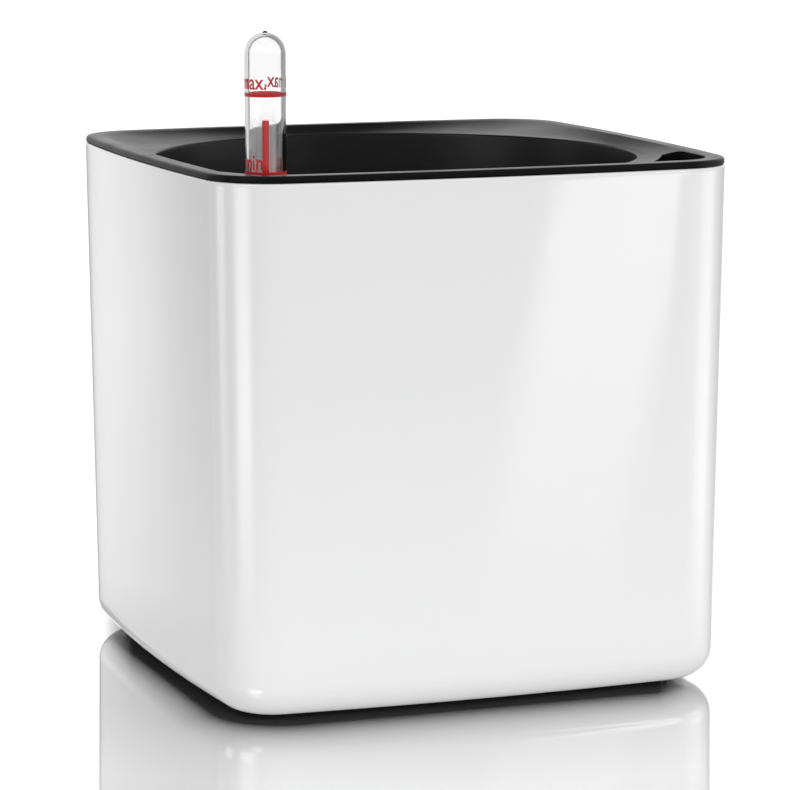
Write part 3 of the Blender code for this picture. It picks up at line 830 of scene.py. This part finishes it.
def make_rod():
    radius, collar = 0.85 * MM, (ROD_HIGH.x - ROD_LOW.x) / 2
    seat = FLOAT_HIGH.z + GAP
    tip = 0.25 * MM
    profile = [(0.0, ROD_HIGH.z)] + arc((radius - tip, ROD_HIGH.z - tip), tip, 90, 0, 4)
    profile += [(radius, seat + 1.5 * MM), (radius + 0.2 * MM, seat + 1.2 * MM), (collar, seat + 0.9 * MM)]
    profile += [(collar, seat), (radius, seat), (radius, ROD_LOW.z), (0.0, ROD_LOW.z)]
    dark, light = (0.39, 0.005, 0.006), (0.46, 0.010, 0.010)
    red = moulded("rod_signal_red", dark, light, 0.3, 3000, 0.00001, ior=1.3)
    mesh = turned_mesh("pointer_rod", profile, steps=48)
    add_piece("pointer_rod", mesh, red, "float", "rod_red", "float_rod")


def make_indicator():
    dark, light = (0.010, 0.010, 0.011), (0.016, 0.016, 0.017)
    black = moulded("housing_black_plastic", dark, light, 0.4, 3200, 0.00002)
    ink = print_red()
    make_tube()
    make_ring("print_ring_max", MAX_RING, ink)
    make_ring("print_ring_min", MIN_RING, ink)
    towards_camera = math.atan2(-math.cos(CAMERA_YAW), -math.sin(CAMERA_YAW))
    for side, turn in (("front", 0.0), ("back", math.pi)):
        for words, height in (("max.", MAX_WORD), ("min.", MIN_WORD)):
            wrapped_text(f"print_{words[:3]}_{side}", words, height, towards_camera + turn, ink)
    make_housing(black)
    make_guide()
    make_end_cap(black)
    make_float()
    make_rod()


# ---------------------------------------------------------------- studio

CAMERA_YAW = math.radians(20.32)
CAMERA_PITCH = math.radians(9.116)
CAMERA_DISTANCE = 958.8 * MM
CAMERA_AIM = Vector((-0.1 * MM, 0.0, UNDERSIDE + 67.35 * MM))
LENS, SENSOR = 166.96, 36.0

# Brightness of the studio: behind the planter, as soft light, through the clear tube and in mirrors.
BACKDROP_WHITE = 1.1
AMBIENT_LEVEL = 0.53
BEHIND_GLASS = 1.03
STUDIO_WHITE = 1.25

# The mirrored studio darkens to UPPER_LEVEL between these elevations.
BAND_FADE = (28.0, 48.0)
UPPER_LEVEL = 0.5

# The studio's darker side as the clear tube's wall shows it: azimuth, half-width, soft edge, level.
DARK_SIDE, DARK_SPREAD, DARK_FADE = 90.0, 62.0, 8.0
DARK_LEVEL = 0.48

# Reflectors: azimuth, half-width and soft edge in degrees, strength, and how far they lean per degree
# above PANEL_PIVOT. Last come the elevations where they start, are full, begin to fade and end.
# A negative strength is a dark screen.
PANEL_PIVOT = 8.0
FULL, LOW, SHORT = (0.0, 1.0, 30.0, 45.0), (0.0, 1.0, 11.5, 14.6), (0.0, 1.0, 8.5, 14.2)
REFLECTORS = [
    (-70.0, 2.0, 13.0, 3.5, 0.0, (0.0, 1.0, 7.5, 14.0)),
    (-113.0, 5.0, 16.5, 4.3, 0.0, LOW),
    (-128.0, 5.0, 15.0, 9.0, 0.0, (16.0, 22.0, 40.0, 60.0)),
    (150.7, 3.7, 0.4, 3.7, 0.7, SHORT),
    (139.0, 3.0, 10.0, 1.0, 0.0, SHORT),
    (150.0, 8.0, 16.0, 3.5, 0.0, (30.0, 38.0, 46.0, 58.0)),
    (109.0, 5.0, 27.0, 3.2, 0.0, LOW),
    (54.0, 4.0, 22.0, -0.55, 0.0, FULL),
    (0.0, 3.0, 6.0, -0.8, 0.0, FULL),
    (-14.0, 2.0, 9.0, 0.6, 0.0, (0.0, 1.0, 8.5, 13.5)),
    (-48.0, 8.0, 10.0, 0.4, 0.0, FULL),
    (180.0, 70.0, 60.0, 0.8, 0.0, FULL),
]

# The table: how much it mirrors near and far, less close by as painted shade, its polish from above and at
# a glance, and its white top, a painted pool of light bright round the planter and grey farther off.
FLOOR_MIRROR = (0.84, 1.0)
FLOOR_FADE = (0.092, 0.14)
STEEP_POLISH, FLOOR_POLISH = 0.25, 0.96
FLOOR_WHITE = (0.95, 0.25)
WHITE_FADE = (0.15, 0.45)

# Contact shade: it fades beside and before the planter, within the bearings that its reflection spans.
CONTACT_EDGE, CONTACT_CORNER = 66.0 * MM, 18.0 * MM
BESIDE_REACH, BEFORE_REACH = 5.5 * MM, 8.0 * MM
REFLECTION_HALF = (0.0725, 0.0805)


def look_direction():
    flat = math.cos(CAMERA_PITCH)
    return Vector((math.sin(CAMERA_YAW) * flat, math.cos(CAMERA_YAW) * flat, -math.sin(CAMERA_PITCH)))


def make_camera():
    data = bpy.data.cameras.new("camera")
    data.lens = LENS
    data.sensor_width = SENSOR
    data.clip_start, data.clip_end = 0.01, 20.0
    camera = bpy.data.objects.new("camera", data)
    bpy.context.scene.collection.objects.link(camera)
    camera.location = CAMERA_AIM - look_direction() * CAMERA_DISTANCE
    camera.rotation_euler = Euler((QUARTER - CAMERA_PITCH, 0.0, -CAMERA_YAW), "XYZ")
    bpy.context.scene.camera = camera


def ray_bearing(n):
    """Azimuth (from +Y towards +X) and elevation of a ray that leaves the scene, in degrees."""
    axes = n.add("ShaderNodeSeparateXYZ")
    n.link(n.coordinates.outputs["Generated"], axes.inputs["Vector"])
    across, ahead, up = (axes.outputs[axis] for axis in "XYZ")
    azimuth = n.math("DEGREES", n.math("ARCTAN2", across, ahead))
    return azimuth, n.math("DEGREES", n.math("ARCSINE", up))


def wall_shade(n, path, azimuth):
    """Dims the dark side for light that stayed in the tube's wall and didn't cross its bore."""
    depth = path.outputs["Transmission Depth"]
    along = n.math("MULTIPLY", n.math("GREATER_THAN", depth, 0.5), n.math("LESS_THAN", depth, 2.5))
    offset = n.math("ABSOLUTE", n.math("SUBTRACT", azimuth, DARK_SIDE))
    dark = n.remap(offset, 1.0 - DARK_LEVEL, 0.0, DARK_SPREAD, DARK_SPREAD + DARK_FADE)
    return n.math("SUBTRACT", 1.0, n.math("MULTIPLY", along, dark))


def reflected_level(n, path, azimuth, elevation):
    """Brightness of the mirrored studio. Ray Depth is 2 here for light mirrored once on its way."""
    twice = n.math("GREATER_THAN", path.outputs["Ray Depth"], 2.5)
    level = STUDIO_WHITE
    for centre, core, fade, strength, lean, (start, risen, falling, end) in REFLECTORS:
        leaning = n.math("MULTIPLY_ADD", n.math("SUBTRACT", elevation, PANEL_PIVOT), -lean, azimuth)
        offset = n.math("ABSOLUTE", n.math("WRAP", n.math("SUBTRACT", leaning, centre), 180.0, -180.0))
        bar = n.remap(offset, strength, 0.0, core, core + fade, "SMOOTHSTEP")
        rise = n.remap(elevation, 0.0, 1.0, start, risen)
        height = n.math("MULTIPLY", rise, n.remap(elevation, 1.0, 0.0, falling, end))
        if strength < 0:  # the dark screens stand where the table does not mirror them to the camera
            height = n.math("MULTIPLY", height, twice)
        level = n.math("ADD", n.math("MULTIPLY", bar, height), level)
    return n.math("MULTIPLY", level, n.remap(elevation, 1.0, UPPER_LEVEL, *BAND_FADE))


def make_world():
    """White to the camera, soft light on surfaces, and a studio with reflectors in mirrors."""
    world = bpy.data.worlds.new("studio")
    bpy.context.scene.world = world
    world.cycles.sampling_method = "NONE"  # sampled as a lamp, it would ignore the kind of ray
    n = Nodes("studio", world)
    background = n.tree.nodes["Background"]
    background.inputs["Color"].default_value = (1.0, 1.0, 1.0, 1.0)
    path = n.add("ShaderNodeLightPath")
    azimuth, elevation = ray_bearing(n)
    passed = n.math("MINIMUM", path.outputs["Transmission Depth"], 1.0)
    level = n.choose(passed, reflected_level(n, path, azimuth, elevation), BEHIND_GLASS)
    level = n.math("MULTIPLY", level, wall_shade(n, path, azimuth))
    scattered = n.math("MINIMUM", path.outputs["Diffuse Depth"], 1.0)
    level = n.choose(scattered, level, AMBIENT_LEVEL)
    n.link(n.choose(path.outputs["Is Camera Ray"], level, BACKDROP_WHITE), background.inputs["Strength"])


def contact_shade(n):
    """What is left, from 0 to 1, of the table's mirroring close to where the planter stands."""
    axes = n.add("ShaderNodeSeparateXYZ")
    n.link(n.place, axes.inputs["Vector"])
    x, y = axes.outputs["X"], axes.outputs["Y"]
    straight = CONTACT_EDGE - CONTACT_CORNER
    beside = n.math("MAXIMUM", n.math("SUBTRACT", n.math("ABSOLUTE", x), straight), 0.0)
    before = n.math("MAXIMUM", n.math("SUBTRACT", n.math("ABSOLUTE", y), straight), 0.0)
    squares = n.math("MULTIPLY_ADD", beside, beside, n.math("MULTIPLY", before, before))
    distance = n.math("MAXIMUM", n.math("SUBTRACT", n.math("SQRT", squares), CONTACT_CORNER), 0.0)
    turn = n.math("DIVIDE", before, n.math("ADD", n.math("ADD", beside, before), 0.1 * MM))
    reach = n.math("MULTIPLY_ADD", turn, BEFORE_REACH - BESIDE_REACH, BESIDE_REACH)
    shade = n.math("EXPONENT", n.math("MULTIPLY", n.math("DIVIDE", distance, reach), -1.0))
    sine, cosine = math.sin(CAMERA_YAW), math.cos(CAMERA_YAW)
    across = n.math("SUBTRACT", n.math("MULTIPLY", x, cosine), n.math("MULTIPLY", y, sine))
    ahead = n.math("MULTIPLY_ADD", y, cosine, n.math("MULTIPLY_ADD", x, sine, CAMERA_DISTANCE))
    bearing = n.math("DIVIDE", across, ahead)
    shade = n.math("MULTIPLY", shade, n.remap(n.math("ABSOLUTE", bearing), 1.0, 0.0, *REFLECTION_HALF))
    path = n.add("ShaderNodeLightPath")
    return n.math("SUBTRACT", 1.0, n.math("MULTIPLY", shade, path.outputs["Is Camera Ray"]))


def make_floor():
    """A pale polished table: it mirrors the planter near by, more darkly close to it as painted shade, and
    its white top, painted bright round the planter as a pool of light, bounces light up at it.
    """
    n = Nodes("studio_floor")
    away = n.add("ShaderNodeVectorMath", operation="LENGTH")
    n.link(n.place, away.inputs[0])
    distance = away.outputs["Value"]
    mirror = n.add("ShaderNodeBsdfGlossy")
    # Painted shade: the mirror is darker close to the planter, and darker still where the contact shade
    # falls.
    mirrored = n.math("MULTIPLY", n.remap(distance, *FLOOR_MIRROR, *FLOOR_FADE), contact_shade(n))
    n.link(mirrored, mirror.inputs["Color"])
    mirror.inputs["Roughness"].default_value = 0.02
    white = n.add("ShaderNodeBsdfDiffuse")
    # Painted light: the white top is bright round the planter and fades to grey farther off.
    n.link(n.remap(distance, *FLOOR_WHITE, *WHITE_FADE, "SMOOTHSTEP"), white.inputs["Color"])
    path = n.add("ShaderNodeLightPath")
    glance = n.add("ShaderNodeLayerWeight")
    polish = n.remap(glance.outputs["Facing"], STEEP_POLISH, FLOOR_POLISH, 0.45, 0.72)
    polish = n.math("MULTIPLY", n.math("SUBTRACT", 1.0, path.outputs["Is Diffuse Ray"]), polish)
    n.link(n.mixed(polish, white, mirror).outputs[0], n.output.inputs["Surface"])
    bm = bmesh.new()
    bmesh.ops.create_circle(bm, cap_ends=True, segments=96, radius=3.0)
    mesh = mesh_from("floor", bm)
    mesh.materials.append(n.material)
    floor = bpy.data.objects.new("floor", mesh)
    bpy.context.scene.collection.objects.link(floor)


def soft_box(name, place, aim, width, height, power):
    data = bpy.data.lights.new(name, "AREA")
    data.shape = "RECTANGLE"
    data.size, data.size_y = width, height
    data.energy = power
    lamp = bpy.data.objects.new(name, data)
    bpy.context.scene.collection.objects.link(lamp)
    lamp.location = place
    lamp.rotation_euler = (Vector(aim) - Vector(place)).to_track_quat("-Z", "Y").to_euler()
    lamp.visible_glossy = False


def make_lights():
    """A large soft key behind the camera and a soft light overhead."""
    middle = (0.0, 0.0, 0.07)
    soft_box("key", (-0.1, -1.6, 0.75), middle, 1.0, 1.0, 11.1)
    soft_box("overhead", (0.0, 0.1, 1.5), middle, 1.2, 1.2, 8.0)


def main():
    make_casing()
    make_pads()
    make_liner()
    cord = cord_fibre()
    make_wick("wick_left", -1, cord)
    make_wick("wick_right", 1, cord)
    make_indicator()
    make_camera()
    make_world()
    make_floor()
    make_lights()
    bpy.context.scene.view_settings.view_transform = "Standard"


main()
